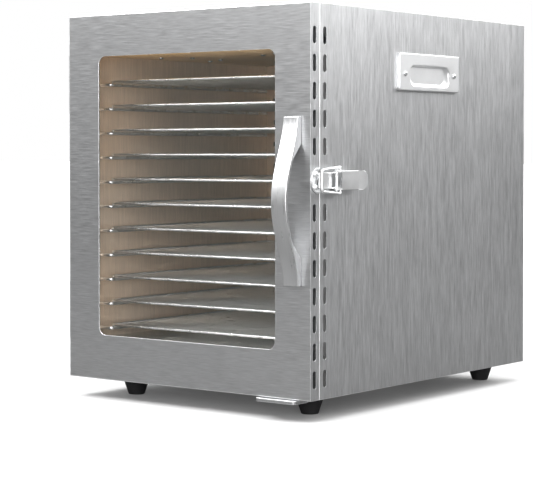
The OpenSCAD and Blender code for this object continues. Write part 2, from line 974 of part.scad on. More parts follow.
module fan_motor() {
    color([0.3, 0.3, 0.32]) place() difference() {
        union() {
            rod_y([0, motor_y - 3, fan_z], 9, 4);
            rod_y([0, motor_y, fan_z], motor_r, motor_l);
            rod_y([0, motor_y + motor_l - 1, fan_z], bracket_bore_r - 0.1, 9);
        }
        rod_y([0, motor_y - 10, fan_z], shaft_r + running_gap, 100);
    }
}

module motor_shaft() {
    color(bright) place() rod_y([0, rotor_y - 4, fan_z], shaft_r, 70);
}

module fan_rotor() {
    color([0.7, 0.72, 0.74]) place() translate([0, rotor_y + rotor_l / 2, fan_z]) difference() {
        union() {
            rod_y([0, -rotor_l / 2, 0], hub_r, rotor_l);
            for (i = [0:blade_count - 1]) rotate([0, i * 360 / blade_count, 0])
                translate([fan_r / 2 + hub_r / 2 - 1, 0, 0]) rotate([blade_pitch, 0, 0])
                    cube([fan_r - hub_r, blade_t, blade_w], center = true);
        }
        rod_y([0, -rotor_l, 0], shaft_r, 2 * rotor_l);
    }
}

// ---------- Controls ----------

module board_tray() {
    color(steel) place() translate([control_x, control_y, chamber_ceiling + liner_t]) difference() {
        union() {
            translate([-tray_half_l, -tray_half_w, 0]) cube([2 * tray_half_l, 2 * tray_half_w, 1]);
            for (s = [-1, 1])
                translate([-tray_half_l, s * (tray_half_w - 0.5) - 0.5, 0]) cube([2 * tray_half_l, 1, 12]);
        }
        for (p = ceiling_screws)
            translate([p[0] - control_x, p[1] - control_y, -1]) cylinder(r = screw_r, h = 3);
    }
}

// Circuit board on four pillars, with a transformer, two relays, capacitors and the button switches
module controller_board() {
    pillar_z = chamber_ceiling + liner_t + 1;
    color([0.1, 0.35, 0.2]) place() translate([control_x, control_y, 0]) {
        translate([-board_l / 2, -board_w / 2, board_z]) cube([board_l, board_w, board_t]);
        for (sx = [-1, 1]) for (sy = [-1, 1])
            translate([sx * board_post_x, sy * board_post_y, pillar_z]) difference() {
                cylinder(r = 3.5, h = board_z - pillar_z);
                translate([0, 0, -1]) cylinder(r = screw_r, h = 12);
            }
        hanging([-52, -22], [32, 28, 22]);
        for (x = [-8, 14]) hanging([x, -24], [16, 19, 16]);
        for (x = [44, 52]) translate([x, 16, board_z - 14]) cylinder(r = 3.5, h = 14);
        for (x = button_xs) translate([x - 3, -3, board_z + board_t]) cube([6, 6, button_switch_h]);
    }
}

// Box of a given size that hangs under the board
module hanging(p, size) {
    translate([p[0], p[1], board_z - size[2]]) cube(size);
}

module control_panel() {
    color([0.05, 0.05, 0.06]) place() translate([control_x, control_y, cabinet_h]) linear_extrude(panel_t)
        difference() {
            rounded(panel_l, panel_w, 5);
            for (x = button_xs) translate([x, 0]) circle(button_r + button_gap);
            translate([display_x, 0]) square([display_l, display_w], center = true);
        }
}

module display_window() {
    color([0.12, 0.02, 0.02]) place() translate([control_x + display_x, control_y, cabinet_h])
        linear_extrude(panel_t) square([display_l, display_w], center = true);
}

// Cap through the panel, with a flange that holds it from below and a stem to its switch
module button(i) {
    color([0.75, 0.76, 0.78]) place() translate([control_x + button_xs[i], control_y, 0]) {
        rod_z([0, 0, cabinet_h - 0.1 - button_flange_t], button_r, panel_t + 1.1 + button_flange_t);
        rod_z([0, 0, cabinet_h - 0.1 - button_flange_t], button_r + 1.2, button_flange_t);
        rod_z([0, 0, button_low_z], 2, 2);
    }
}

module button_start() {
    button(0);
}

module button_mode() {
    button(1);
}

module button_up() {
    button(2);
}

module button_down() {
    button(3);
}

// Three-pin appliance inlet in the back panel
module power_inlet() {
    color(rubber) place() translate([inlet_x, overall_d, inlet_z]) {
        difference() {
            union() {
                xz(0, inlet_flange_t) rounded(inlet_flange_l, inlet_flange_h, 4);
                xz(-inlet_d, inlet_d) square([inlet_l, inlet_h], center = true);
            }
            xz(-inlet_d + 2, inlet_d + inlet_flange_t) square([inlet_l - 4, inlet_h - 4], center = true);
        }
        for (p = [[-7, -2], [0, 2], [7, -2]])
            xz(-inlet_d + 2, 14) translate(p) square([2, 4], center = true);
    }
}

// ---------- Screws ----------

module cabinet_screws() {
    color(bright) place() {
        for (side = [-1, 1]) for (s = [-1, 1])
            translate([side * (half_w + pull_t), pull_y + s * pull_screw_dx, pull_z + pull_screw_dz])
                rotate([0, side * 90, 0]) screw(pull_t + 3);
        for (i = [0:len(ceiling_screws) - 1])
            translate([ceiling_screws[i][0], ceiling_screws[i][1], chamber_ceiling])
                mirror([0, 0, 1]) screw(8);
        for (x = back_screw_xs) for (z = back_screw_zs)
            translate([x, overall_d, z]) rotate([-90, 0, 0]) screw(4);
        foot_places() translate([0, 0, sheet_t]) screw(foot_bore_l);
        hinge_screw_places(1) translate([0, 0, leaf_t]) screw(4);
        for (x = rest_screw_xs) translate([x, rest_screw_y, -rest_t]) mirror([0, 0, 1]) screw(5);
    }
}

module door_screws() {
    color(bright) place() {
        hinge_screw_places(-1) translate([0, 0, leaf_t]) screw(4);
        keeper_screw_places() translate([0, 0, keeper_t]) screw(4);
        handle_screw_places() translate([0, 0, skin_t]) screw(skin_t + 4);
    }
}

// ---------- Output ----------

side_panel_left();
side_panel_right();
top_panel();
base_panel();
back_panel();
front_frame();
liner_left();
liner_right();
liner_ceiling();
liner_floor();
fan_baffle();
runners_left();
runners_right();
feet();
pull_plate_left();
pull_plate_right();
latch_base();
latch_pin();
latch_lever();
latch_bail();
door_rest();
hinge_leaves_cabinet();
hinge_pins();
hinge_leaves_door();
heating_element();
thermal_cutout();
temperature_probe();
fan_motor();
motor_bracket();
motor_shaft();
fan_rotor();
board_tray();
controller_board();
control_panel();
display_window();
button_start();
button_mode();
button_up();
button_down();
power_inlet();
cabinet_screws();
door_skin();
door_inner_panel();
door_glass();
glass_gasket();
door_seal();
door_handle();
keeper();
door_screws();
tray_01();
tray_02();
tray_03();
tray_04();
tray_05();
tray_06();
tray_07();
tray_08();
tray_09();
tray_10();
tray_11();
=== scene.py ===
"""Stainless cabinet food dehydrator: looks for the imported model, in metres and in its frame."""
import math

import bmesh
import bpy
from mathutils import Matrix, Vector


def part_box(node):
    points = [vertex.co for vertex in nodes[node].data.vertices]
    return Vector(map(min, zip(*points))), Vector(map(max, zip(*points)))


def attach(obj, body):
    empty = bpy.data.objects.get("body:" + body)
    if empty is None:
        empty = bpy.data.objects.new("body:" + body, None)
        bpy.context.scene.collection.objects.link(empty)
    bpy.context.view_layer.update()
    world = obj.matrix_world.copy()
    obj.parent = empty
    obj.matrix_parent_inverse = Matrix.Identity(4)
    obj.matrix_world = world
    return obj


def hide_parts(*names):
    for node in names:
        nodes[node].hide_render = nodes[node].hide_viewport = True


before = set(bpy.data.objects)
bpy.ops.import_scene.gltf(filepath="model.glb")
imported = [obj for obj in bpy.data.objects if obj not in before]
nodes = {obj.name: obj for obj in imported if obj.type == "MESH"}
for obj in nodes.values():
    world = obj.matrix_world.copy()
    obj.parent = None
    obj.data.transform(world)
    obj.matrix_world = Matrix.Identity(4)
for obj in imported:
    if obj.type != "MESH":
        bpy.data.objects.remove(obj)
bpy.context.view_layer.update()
scene = bpy.context.scene

# ---------- Places and sizes, in mm ----------

MM = 0.001
FRONT_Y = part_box("door_skin")[0].y
BASE_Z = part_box("base_panel")[0].z
SIDES = (("left", -1), ("right", 1))


def place(x, y, z):
    """A point given in mm from the cabinet's middle, the door's face and the cabinet's underside."""
    return Vector((x * MM, FRONT_Y + y * MM, BASE_Z + z * MM))


def span(node, axis):
    """A CAD node's middle and half length along X, Y or Z (0, 1 or 2), in the mm that place() takes."""
    low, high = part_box(node)
    start = (0, FRONT_Y, BASE_Z)[axis]
    return ((low[axis] + high[axis]) / 2 - start) / MM, (high[axis] - low[axis]) / 2 / MM


HALF_W = span("door_skin", 0)[1]
HEIGHT = 2 * span("door_skin", 2)[1]
BACK_Y = sum(span("back_panel", 1))
PULL_Y, PULL_HALF_L = span("pull_plate_right", 1)
PULL_Z, PULL_HALF_H = span("pull_plate_right", 2)
PULL_T = 4.0
HANDLE_Z, HANDLE_HALF = span("door_handle", 2)
LATCH_Z = span("latch_base", 2)[0]
TRAYS = sorted(name for name in nodes if name.startswith("tray_"))

# ---------- Materials ----------

# Nearly all of a noise's values lie between these two
NOISE_LOW, NOISE_HIGH = 0.3, 0.7


def new_material(name):
    """A material with nodes, and its Principled shader."""
    mat = bpy.data.materials.new(name)
    mat.use_nodes = True
    return mat, mat.node_tree, mat.node_tree.nodes["Principled BSDF"]


def object_noise(tree, scale, detail=3.0, roughness=0.55, seed=0.0):
    """Noise in the object's own coordinates with its own scale along X, Y and Z, in cycles a metre."""
    coord = tree.nodes.new("ShaderNodeTexCoord")
    mapping = tree.nodes.new("ShaderNodeMapping")
    mapping.inputs["Location"].default_value = (seed, seed * 1.7, seed * 2.3)
    mapping.inputs["Scale"].default_value = scale
    noise = tree.nodes.new("ShaderNodeTexNoise")
    noise.inputs["Scale"].default_value = 1.0
    noise.inputs["Detail"].default_value = detail
    noise.inputs["Roughness"].default_value = roughness
    tree.links.new(coord.outputs["Object"], mapping.inputs["Vector"])
    tree.links.new(mapping.outputs["Vector"], noise.inputs["Vector"])
    return noise.outputs["Fac"]


def remap(tree, value, low, high, from_low=NOISE_LOW, from_high=NOISE_HIGH):
    """The value moved linearly from one range to another, and kept inside it."""
    node = tree.nodes.new("ShaderNodeMapRange")
    node.inputs["From Min"].default_value = from_low
    node.inputs["From Max"].default_value = from_high
    node.inputs["To Min"].default_value = low
    node.inputs["To Max"].default_value = high
    tree.links.new(value, node.inputs["Value"])
    return node.outputs["Result"]


def math_node(tree, operation, a, b):
    """One Math node. Each input is a socket or a number."""
    node = tree.nodes.new("ShaderNodeMath")
    node.operation = operation
    for value, socket in zip((a, b), node.inputs):
        if isinstance(value, (int, float)):
            socket.default_value = value
        else:
            tree.links.new(value, socket)
    return node.outputs[0]


def mix_colour(tree, factor, a, b, mode="MIX"):
    """One colour Mix node. a and b are sockets or colours, factor is a socket or a number."""
    node = tree.nodes.new("ShaderNodeMix")
    node.data_type = "RGBA"
    node.blend_type = mode
    for value, socket in ((factor, node.inputs[0]), (a, node.inputs[6]), (b, node.inputs[7])):
        if isinstance(value, bpy.types.NodeSocket):
            tree.links.new(value, socket)
        elif isinstance(value, (int, float)):
            socket.default_value = value
        else:
            socket.default_value = (*value, 1.0)
    return node.outputs[2]


def edge_mask(tree):
    """One on convex edges and zero on flat ground."""
    geometry = tree.nodes.new("ShaderNodeNewGeometry")
    return remap(tree, geometry.outputs["Pointiness"], 0.0, 1.0, 0.53, 0.60)


def bump(tree, shader, height, strength, distance):
    """Joins a height to the shader's normal."""
    node = tree.nodes.new("ShaderNodeBump")
    node.inputs["Strength"].default_value = strength
    node.inputs["Distance"].default_value = distance
    tree.links.new(height, node.inputs["Height"])
    tree.links.new(node.outputs["Normal"], shader.inputs["Normal"])


def brushed(name, colour, grain="X", rough=(0.30, 0.44), contrast=0.10, anisotropy=0.5,
            streak=(420.0, 34.0), cloud=0.05, tint=None, metal=1.0, seed=0.0):
    """Brushed sheet steel: short streaks, finer scratches and faint clouds. The grain runs along one axis,
    or along any line in the plane of two."""
    mat, tree, shader = new_material(name)

    def scales(across, along):
        return tuple(along if axis in grain else across for axis in "XYZ")

    streaks = object_noise(tree, scales(*streak), 4.0, 0.6, seed)
    scratches = object_noise(tree, scales(2600.0, 90.0), 2.0, 0.5, seed + 3.0)
    clouds = object_noise(tree, (9.0, 9.0, 9.0), 2.0, seed=seed + 7.0)
    grey = math_node(tree, "ADD", remap(tree, streaks, 1 - contrast, 1 + contrast),
                     remap(tree, scratches, -contrast * 0.6, contrast * 0.6))
    grey = math_node(tree, "ADD", grey, remap(tree, clouds, -cloud, cloud))
    base = mix_colour(tree, 1.0, colour, grey, "MULTIPLY")
    # A tint paints warm patches into the steel: a painted reflection of warm light
    if tint:
        warm_light_patches = object_noise(tree, (5.0, 5.0, 5.0), 1.0, seed=seed + 11.0)
        base = mix_colour(tree, remap(tree, warm_light_patches, 0.35, 1.0, 0.35, 0.65), base, tint, "MULTIPLY")
    tree.links.new(base, shader.inputs["Base Color"])
    tree.links.new(remap(tree, streaks, *rough), shader.inputs["Roughness"])
    shader.inputs["Metallic"].default_value = metal
    shader.inputs["Anisotropic"].default_value = anisotropy
    shader.inputs["Anisotropic Rotation"].default_value = 0.25 if "Z" in grain else 0.0
    tangent = tree.nodes.new("ShaderNodeTangent")
    tangent.direction_type = "RADIAL"
    tangent.axis = "Z"
    tree.links.new(tangent.outputs["Tangent"], shader.inputs["Tangent"])
    bump(tree, shader, math_node(tree, "ADD", streaks, scratches), 0.35, 0.00003)
    return mat


def polished(name, colour, rough=(0.10, 0.2), wear=0.08, seed=0.0):
    """Polished or plated steel with faint smears and fine random scratches."""
    mat, tree, shader = new_material(name)
    smears = object_noise(tree, (70.0, 70.0, 70.0), 4.0, seed=seed)
    fine = object_noise(tree, (1500.0, 1500.0, 260.0), 3.0, seed=seed + 5.0)
    grey = math_node(tree, "ADD", remap(tree, smears, 1 - wear, 1 + wear),
                     remap(tree, fine, -wear * 0.5, wear * 0.5))
    tree.links.new(mix_colour(tree, 1.0, colour, grey, "MULTIPLY"), shader.inputs["Base Color"])
    tree.links.new(remap(tree, math_node(tree, "ADD", smears, fine), *rough, 0.7, 1.3),
                   shader.inputs["Roughness"])
    shader.inputs["Metallic"].default_value = 1.0
    bump(tree, shader, fine, 0.08, 0.00002)
    return mat


def moulded(name, colour, rough=(0.45, 0.6), grain=900.0, depth=0.25, wear=0.35, worn=1.8, coat=0.0):
    """Moulded rubber or plastic: fine grain, dust clouds and paler worn edges."""
    mat, tree, shader = new_material(name)
    texture = object_noise(tree, (grain, grain, grain), 3.0)
    clouds = object_noise(tree, (40.0, 40.0, 40.0), 3.0, seed=4.0)
    base = mix_colour(tree, 1.0, colour, remap(tree, clouds, 0.85, 1.15), "MULTIPLY")
    pale = tuple(min(1.0, c * worn + 0.02) for c in colour)
    base = mix_colour(tree, math_node(tree, "MULTIPLY", edge_mask(tree), wear), base, pale)
    tree.links.new(base, shader.inputs["Base Color"])
    tree.links.new(remap(tree, clouds, *rough), shader.inputs["Roughness"])
    shader.inputs["Coat Weight"].default_value = coat
    shader.inputs["Coat Roughness"].default_value = 0.08
    bump(tree, shader, texture, depth, 0.0001)
    return mat


def glass_material(name):
    """Clear door glass with a faint green tint and a few smears."""
    mat, tree, shader = new_material(name)
    smears = object_noise(tree, (16.0, 16.0, 5.0), 4.0, seed=2.0)
    shader.inputs["Base Color"].default_value = (0.10, 0.12, 0.115, 1.0)
    shader.inputs["Alpha"].default_value = 0.07
    shader.inputs["IOR"].default_value = 1.52
    tree.links.new(remap(tree, smears, 0.02, 0.10, 0.4, 0.7), shader.inputs["Roughness"])
    return mat


def painted(name, colour):
    """Satin paint on metal with a light orange-peel surface."""
    return moulded(name, colour, (0.3, 0.42), grain=420.0, depth=0.12, wear=0.5, worn=3.0, coat=0.3)


# Streaks across the grain and along it, in cycles a metre
LONG_STREAK = (900.0, 50.0)

looks = {
    # Cabinet and door sheets
    "door_front": brushed("door_steel", (0.49, 0.494, 0.50), "X", contrast=0.11, streak=LONG_STREAK,
                          cloud=0.02),
    "side": brushed("side_steel", (0.46, 0.464, 0.47), "Z", contrast=0.17, streak=(700.0, 36.0),
                    cloud=0.02, seed=1.0),
    # A darker copy of the sheet steel: painted shade that dims the top's reflections
    "top": brushed("top_steel", (0.31, 0.313, 0.318), "X", (0.42, 0.56), 0.09, 0.0, LONG_STREAK, seed=2.0),
    # A painted highlight: steel much paler than the sheets, given to their rounded folds
    "edge": polished("painted_highlight_edge", (0.95, 0.955, 0.96), (0.38, 0.46), 0.04, seed=11.0),
    "back": brushed("back_steel", (0.42, 0.424, 0.43), "X", (0.34, 0.48), 0.07, seed=3.0),
    # Chamber
    # Warm brown base and tint: a painted reflection of warm light in the chamber
    "liner": brushed("liner_steel", (0.80, 0.70, 0.60), "Z", (0.30, 0.42), streak=(560.0, 26.0),
                     cloud=0.06, tint=(1.0, 0.90, 0.80), metal=0.55, seed=4.0),
    "liner_back": moulded("liner_dull_side", (0.60, 0.60, 0.60), (0.6, 0.75), 300.0, 0.1, 0.1, 1.2),
    # Bright amber base and tint: painted light and a painted warm reflection on the ceiling
    "ceiling": brushed("ceiling_steel", (1.0, 0.82, 0.58), "Y", (0.28, 0.40), 0.06, 0.0,
                       tint=(1.0, 0.88, 0.66), metal=0.25, seed=5.0),
    "floor": brushed("floor_steel", (0.58, 0.57, 0.55), "Y", (0.16, 0.28), 0.06, 0.0, seed=6.0),
    "bracket": brushed("bracket_steel", (0.55, 0.55, 0.55), "X", seed=7.0),
    # Fittings
    "bright": polished("bright_steel", (0.80, 0.81, 0.82)),
    "latch": polished("latch_chrome", (0.90, 0.905, 0.91), (0.30, 0.38), 0.03, seed=1.0),
    "pull": polished("pull_satin", (0.78, 0.785, 0.79), (0.38, 0.44), 0.02, seed=8.0),
    "wire": polished("drawn_wire", (0.84, 0.84, 0.84), (0.24, 0.34), 0.03, seed=2.0),
    "mesh": polished("mesh_wire", (0.68, 0.67, 0.65), (0.25, 0.4), 0.04, seed=3.0),
    "handle": brushed("handle_satin", (0.59, 0.594, 0.60), "YZ", (0.26, 0.34), 0.035,
                      streak=(700.0, 30.0), seed=9.0),
    "zinc": polished("zinc_plate", (0.62, 0.63, 0.64), (0.22, 0.38), 0.12, seed=4.0),
    "glass": glass_material("door_glass_clear"),
    "rubber": moulded("black_rubber", (0.022, 0.022, 0.023), (0.5, 0.65)),
    "silicone": moulded("grey_silicone", (0.33, 0.33, 0.33), (0.4, 0.55), 500.0, 0.1, 0.2, 1.3),
    # Fan chamber and controls
    "heater": polished("heater_sheath", (0.22, 0.18, 0.15), (0.35, 0.55), 0.25, seed=5.0),
    "ceramic": moulded("cutout_ceramic", (0.78, 0.76, 0.70), (0.5, 0.6)),
    "motor": painted("motor_paint", (0.03, 0.03, 0.032)),
    "alloy": brushed("fan_alloy", (0.72, 0.73, 0.74), "X", contrast=0.06, seed=10.0),
    "board": moulded("board_green", (0.02, 0.16, 0.07), (0.3, 0.4), 600.0, 0.1, 0.2, 1.5, 0.3),
    "panel": moulded("panel_black", (0.012, 0.012, 0.013), (0.12, 0.22), 300.0, 0.02, 0.3, 2.5, 0.6),
    "display": moulded("display_filter", (0.035, 0.006, 0.006), (0.06, 0.12), 200.0, 0.01, 0.1, 1.4, 0.8),
    "button": moulded("button_grey", (0.10, 0.102, 0.108), (0.35, 0.45), 800.0, 0.15),
    "mark": moulded("button_mark", (0.80, 0.80, 0.80), (0.5, 0.6)),
    "inlet": moulded("inlet_black", (0.02, 0.02, 0.02), (0.4, 0.5), 700.0, 0.15),
}

# ---------- Mesh helpers ----------

# Edges above these angles stay sharp: on plain pieces, on curved ones and on screw heads
SHARP = math.radians(35)
SHARP_CURVE = math.radians(30)
SHARP_HEAD = math.radians(32)
# Faces this nearly in one plane become one face, and points this near in metres become one point
FLAT = math.radians(0.6)
WELD = 1e-6


def add_object(name, mesh, look, body, replaced=()):
    """A piece with one material that rides on a body."""
    obj = bpy.data.objects.new(name, mesh)
    scene.collection.objects.link(obj)
    if not mesh.materials:
        mesh.materials.append(looks[look])
    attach(obj, body)
    if replaced:
        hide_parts(*replaced)
    return obj


def finish_mesh(name, bm, sharp=SHARP):
    """Turns a bmesh into a smooth mesh with sharp edges above an angle."""
    bmesh.ops.recalc_face_normals(bm, faces=bm.faces)
    mesh = bpy.data.meshes.new(name)
    bm.to_mesh(mesh)
    bm.free()
    for face in mesh.polygons:
        face.use_smooth = True
    mesh.set_sharp_from_angle(angle=sharp)
    return mesh


def add_bevel(obj, width, segments=2, weighted=False, angle=SHARP):
    """Rounds a piece's edges, width in mm: all above an angle, or by their weight."""
    mod = obj.modifiers.new("rounding", "BEVEL")
    mod.width = width * MM
    mod.segments = segments
    mod.limit_method = "WEIGHT" if weighted else "ANGLE"
    mod.angle_limit = angle
    mod.use_clamp_overlap = False
    mod.harden_normals = True


def refined(node, look, body, width, segments=2, weight=None):
    """A copy of a CAD node with its flat faces joined and its edges rounded by width, in mm.
    weight gives an edge's share of the width from the middle of the edge and its length, in mm."""
    bm = bmesh.new()
    bm.from_mesh(nodes[node].data)
    bmesh.ops.remove_doubles(bm, verts=bm.verts, dist=WELD)
    bmesh.ops.dissolve_limit(bm, angle_limit=FLAT, verts=bm.verts, edges=bm.edges)
    if weight:
        layer = bm.edges.layers.float.new("bevel_weight_edge")
        for edge in bm.edges:
            if len(edge.link_faces) != 2 or edge.calc_face_angle(0.0) < SHARP:
                continue
            x, y, z = ((edge.verts[0].co + edge.verts[1].co) / 2 - place(0, 0, 0)) / MM
            edge[layer] = weight(x, y, z, edge.calc_length() / MM)
    mesh = finish_mesh(node + "_rounded", bm)
    obj = add_object(node + "_rounded", mesh, look, body, (node,))
    add_bevel(obj, width, segments, weight is not None)
    return obj


def second_look(obj, look, *directions):
    """Gives another look to the faces that point along one of the directions."""
    obj.data.materials.append(looks[look])
    for face in obj.data.polygons:
        if any(face.normal.dot(Vector(direction)) > 0.7 for direction in directions):
            face.material_index = len(obj.data.materials) - 1


def painted_highlight_edges(obj):
    """Gives the rounded edges a much paler steel than the sheets: a painted highlight along the folds."""
    obj.data.materials.append(looks["edge"])
    obj.modifiers["rounding"].material = len(obj.data.materials) - 1


def keep(node, look):
    """Leaves a CAD node as it is, with a new material and smooth curved faces."""
    obj = nodes[node]
    obj.data.materials.clear()
    obj.data.materials.append(looks[look])
    for face in obj.data.polygons:
        face.use_smooth = True
        face.material_index = 0
    obj.data.set_sharp_from_angle(angle=SHARP_CURVE)
    return obj


def rounded_path(corners, radius, steps=8, closed=False):
    """Points along straight runs with round corners. radius is one number or one a corner."""
    count = len(corners)
    path = []
    for i, corner in enumerate(corners):
        bend = radius[i] if isinstance(radius, (list, tuple)) else radius
        if (not closed and i in (0, count - 1)) or bend == 0:
            path.append(corner)
            continue
        before = (corners[i - 1] - corner).normalized()
        after = (corners[(i + 1) % count] - corner).normalized()
        half = before.angle(after) / 2
        centre = corner + (before + after).normalized() * (bend / math.sin(half))
        start = corner + before * (bend / math.tan(half)) - centre
        end = corner + after * (bend / math.tan(half)) - centre
        path += [centre + arc_point(start, end, k / steps) for k in range(steps + 1)]
    return path


def arc_point(start, end, share):
    """The point a share of the way along the arc from start to end about the origin."""
    angle = start.angle(end)
    a = math.sin((1 - share) * angle) / math.sin(angle)
    b = math.sin(share * angle) / math.sin(angle)
    return start * a + end * b


def add_tube(bm, path, radius, sides=12, closed=False):
    """Adds a round tube along a path to a bmesh."""
    count = len(path)
    rings = []
    normal = None
    for i, point in enumerate(path):
        ahead = path[(i + 1) % count] if closed or i < count - 1 else point
        behind = path[i - 1] if closed or i > 0 else point
        tangent = (ahead - behind).normalized()
        if normal is None:
            normal = tangent.orthogonal().normalized()
        normal = (normal - tangent * normal.dot(tangent)).normalized()
        side = tangent.cross(normal)
        rings.append([
            bm.verts.new(point + (normal * math.cos(a) + side * math.sin(a)) * radius)
            for a in (2 * math.pi * k / sides for k in range(sides))
        ])
    for i in range(count if closed else count - 1):
        one, two = rings[i], rings[(i + 1) % count]
        for k in range(sides):
            bm.faces.new((one[k], one[(k + 1) % sides], two[(k + 1) % sides], two[k]))
    if not closed:
        bm.faces.new(rings[0])
        bm.faces.new(rings[-1])


def lathe(profile, sides=48):
    """A bmesh turned about Z from (radius, height) pairs, in mm. A zero radius closes an end."""
    bm = bmesh.new()
    rings = []
    for radius, height in profile:
        angles = [2 * math.pi * k / sides for k in range(sides if radius else 1)]
        rings.append([
            bm.verts.new((radius * math.cos(a) * MM, radius * math.sin(a) * MM, height * MM)) for a in angles
        ])
    for one, two in zip(rings, rings[1:]):
        for k in range(sides):
            j = (k + 1) % sides
            corners = [one[k % len(one)], one[j % len(one)], two[j % len(two)], two[k % len(two)]]
            bm.faces.new(list(dict.fromkeys(corners)))
    return bm


def add_copy(bm, template, matrix):
    """Adds a moved copy of a mesh to a bmesh."""
    start = len(bm.verts)
    bm.from_mesh(template)
    bm.verts.ensure_lookup_table()
    bmesh.ops.transform(bm, matrix=matrix, verts=bm.verts[start:])


def applied(obj):
    """The mesh of a scratch object with its modifiers applied. The object is deleted."""
    graph = bpy.context.evaluated_depsgraph_get()
    mesh = bpy.data.meshes.new_from_object(obj.evaluated_get(graph))
    bpy.data.objects.remove(obj)
    return mesh


def scratch_object(name, mesh):
    """An object that only lives until its modifiers are applied."""
    obj = bpy.data.objects.new(name, mesh)
    scene.collection.objects.link(obj)
    return obj


# ---------- Screw heads ----------

# (radius, height) pairs of a head, and the driver slots' width, height, middle and turn
HEAD_PROFILE = [(0, -0.2), (3.0, -0.2), (3.0, 0.45), (2.85, 0.85), (2.45, 1.3), (1.8, 1.68), (1.0, 1.9),
                (0, 1.98)]
DRIVE_W = 0.8
DRIVE_H = 2.0
DRIVE_Z = 1.95
DRIVE_TURN = 20


def screw_head_mesh(name, slot_lengths):
    """A domed screw head, 6 mm across and 2 mm high, with driver slots at right angles."""
    dome = scratch_object(name, finish_mesh(name, lathe(HEAD_PROFILE, 40)))
    cutters = []
    for i, length in enumerate(slot_lengths):
        bm = bmesh.new()
        size = Matrix.Diagonal((length * MM, DRIVE_W * MM, DRIVE_H * MM, 1.0))
        turn = Matrix.Rotation(math.radians(90 * i + DRIVE_TURN), 4, "Z")
        lift = Matrix.Translation((0, 0, DRIVE_Z * MM))
        bmesh.ops.create_cube(bm, size=1.0, matrix=turn @ lift @ size)
        cutter = scratch_object("cutter", finish_mesh("cutter", bm))
        mod = dome.modifiers.new("slot", "BOOLEAN")
        mod.operation = "DIFFERENCE"
        mod.object = cutter
        cutters.append(cutter)
    bpy.context.view_layer.update()
    mesh = applied(dome)
    for cutter in cutters:
        bpy.data.objects.remove(cutter)
    for face in mesh.polygons:
        face.use_smooth = True
    mesh.set_sharp_from_angle(angle=SHARP_HEAD)
    return mesh


SLOTTED = screw_head_mesh("slotted_head", (7.0,))
CROSSED = screw_head_mesh("crossed_head", (3.6, 3.6))
TURN_BETWEEN_SCREWS = math.radians(47)


def add_screws(name, template, spots, look, body, node):
    """One piece that holds a screw head at every (place, direction) pair, each turned a little further."""
    bm = bmesh.new()
    for i, (point, direction) in enumerate(spots):
        turned = Vector(direction).to_track_quat("Z", "Y").to_matrix().to_4x4()
        spin = Matrix.Rotation(TURN_BETWEEN_SCREWS * i, 4, "Z")
        add_copy(bm, template, Matrix.Translation(place(*point)) @ turned @ spin)
    mesh = bpy.data.meshes.new(name)
    bm.to_mesh(mesh)
    bm.free()
    mesh.set_sharp_from_angle(angle=SHARP_HEAD)
    add_object(name, mesh, look, body, (node,))


# ---------- Cabinet and door sheets ----------

# Width of a deburred edge, and as a share of a panel's widest rounding
DEBURRED = 0.3
DEBURRED_SHARE = 0.15
# An edge this near a plane lies on it. A fold is at least this long.
ON_PLANE = 0.2
LONG_EDGE = 300
# Edges up to these depths belong to the cabinet's front and to the door's face
FRONT_PART = 100
FACE_DEPTH = 1.5


def side_weight(x, y, z, length):
    """A side panel's front outer edge is a round fold and its top one a tight fold. The rest is deburred."""
    if abs(abs(x) - HALF_W) > ON_PLANE or length < LONG_EDGE:
        return DEBURRED_SHARE
    if z > HEIGHT - ON_PLANE:
        return 0.35
    return 1.0 if y < FRONT_PART else DEBURRED_SHARE


def skin_weight(x, y, z, length):
    """The door skin's upright and bottom corners are round folds. The rest of its face is finer, and its
    slots and rear edges the finest."""
    if y < ON_PLANE and (abs(abs(x) - HALF_W) < ON_PLANE or z < ON_PLANE):
        return 1.0
    return 0.28 if y < FACE_DEPTH else 0.12


door_skin = refined("door_skin", "door_front", "door", 1.15, 4, skin_weight)
second_look(door_skin, "side", (-1, 0, 0), (1, 0, 0))
# The top face takes the darker top steel, painted shade
second_look(door_skin, "top", (0, 0, 1))
painted_highlight_edges(door_skin)
refined("door_inner_panel", "back", "door", 0.35)
for side, sign in SIDES:
    side_panel = refined("side_panel_" + side, "side", "cabinet", 0.85, 3, side_weight)
    second_look(side_panel, "liner_back", (-sign, 0, 0))
    painted_highlight_edges(side_panel)
    second_look(keep("liner_" + side, "liner_back"), "liner", (-sign, 0, 0))
top_panel = refined("top_panel", "top", "cabinet", DEBURRED)
second_look(top_panel, "liner_back", (0, 0, -1))
base_panel = refined("base_panel", "back", "cabinet", DEBURRED)
second_look(base_panel, "liner_back", (0, 0, 1))
refined("front_frame", "back", "cabinet", DEBURRED)
keep("back_panel", "back")
keep("fan_baffle", "liner")
second_look(keep("liner_ceiling", "ceiling"), "liner_back", (0, 0, 1))
keep("liner_floor", "floor")
keep("door_glass", "glass")
refined("glass_gasket", "rubber", "door", 0.5)
refined("door_seal", "silicone", "door", 0.9, 3)
painted_highlight_edges(refined("door_rest", "side", "cabinet", 0.6, 3))

# ---------- Runners and trays ----------

RIM_R = 1.5
RIM_BEND = 8
RUNNER_R = 2.0
RUNNER_BEND = 5
UNDER_TRAY = 0.3
NET_PITCH = 2.6
NET_WIRE_R = 0.3
# Underside of the net from the rim's centre line, and the net's distance in from the rim's outside
NET_LOWEST = -1.45
NET_INSET = 1.2

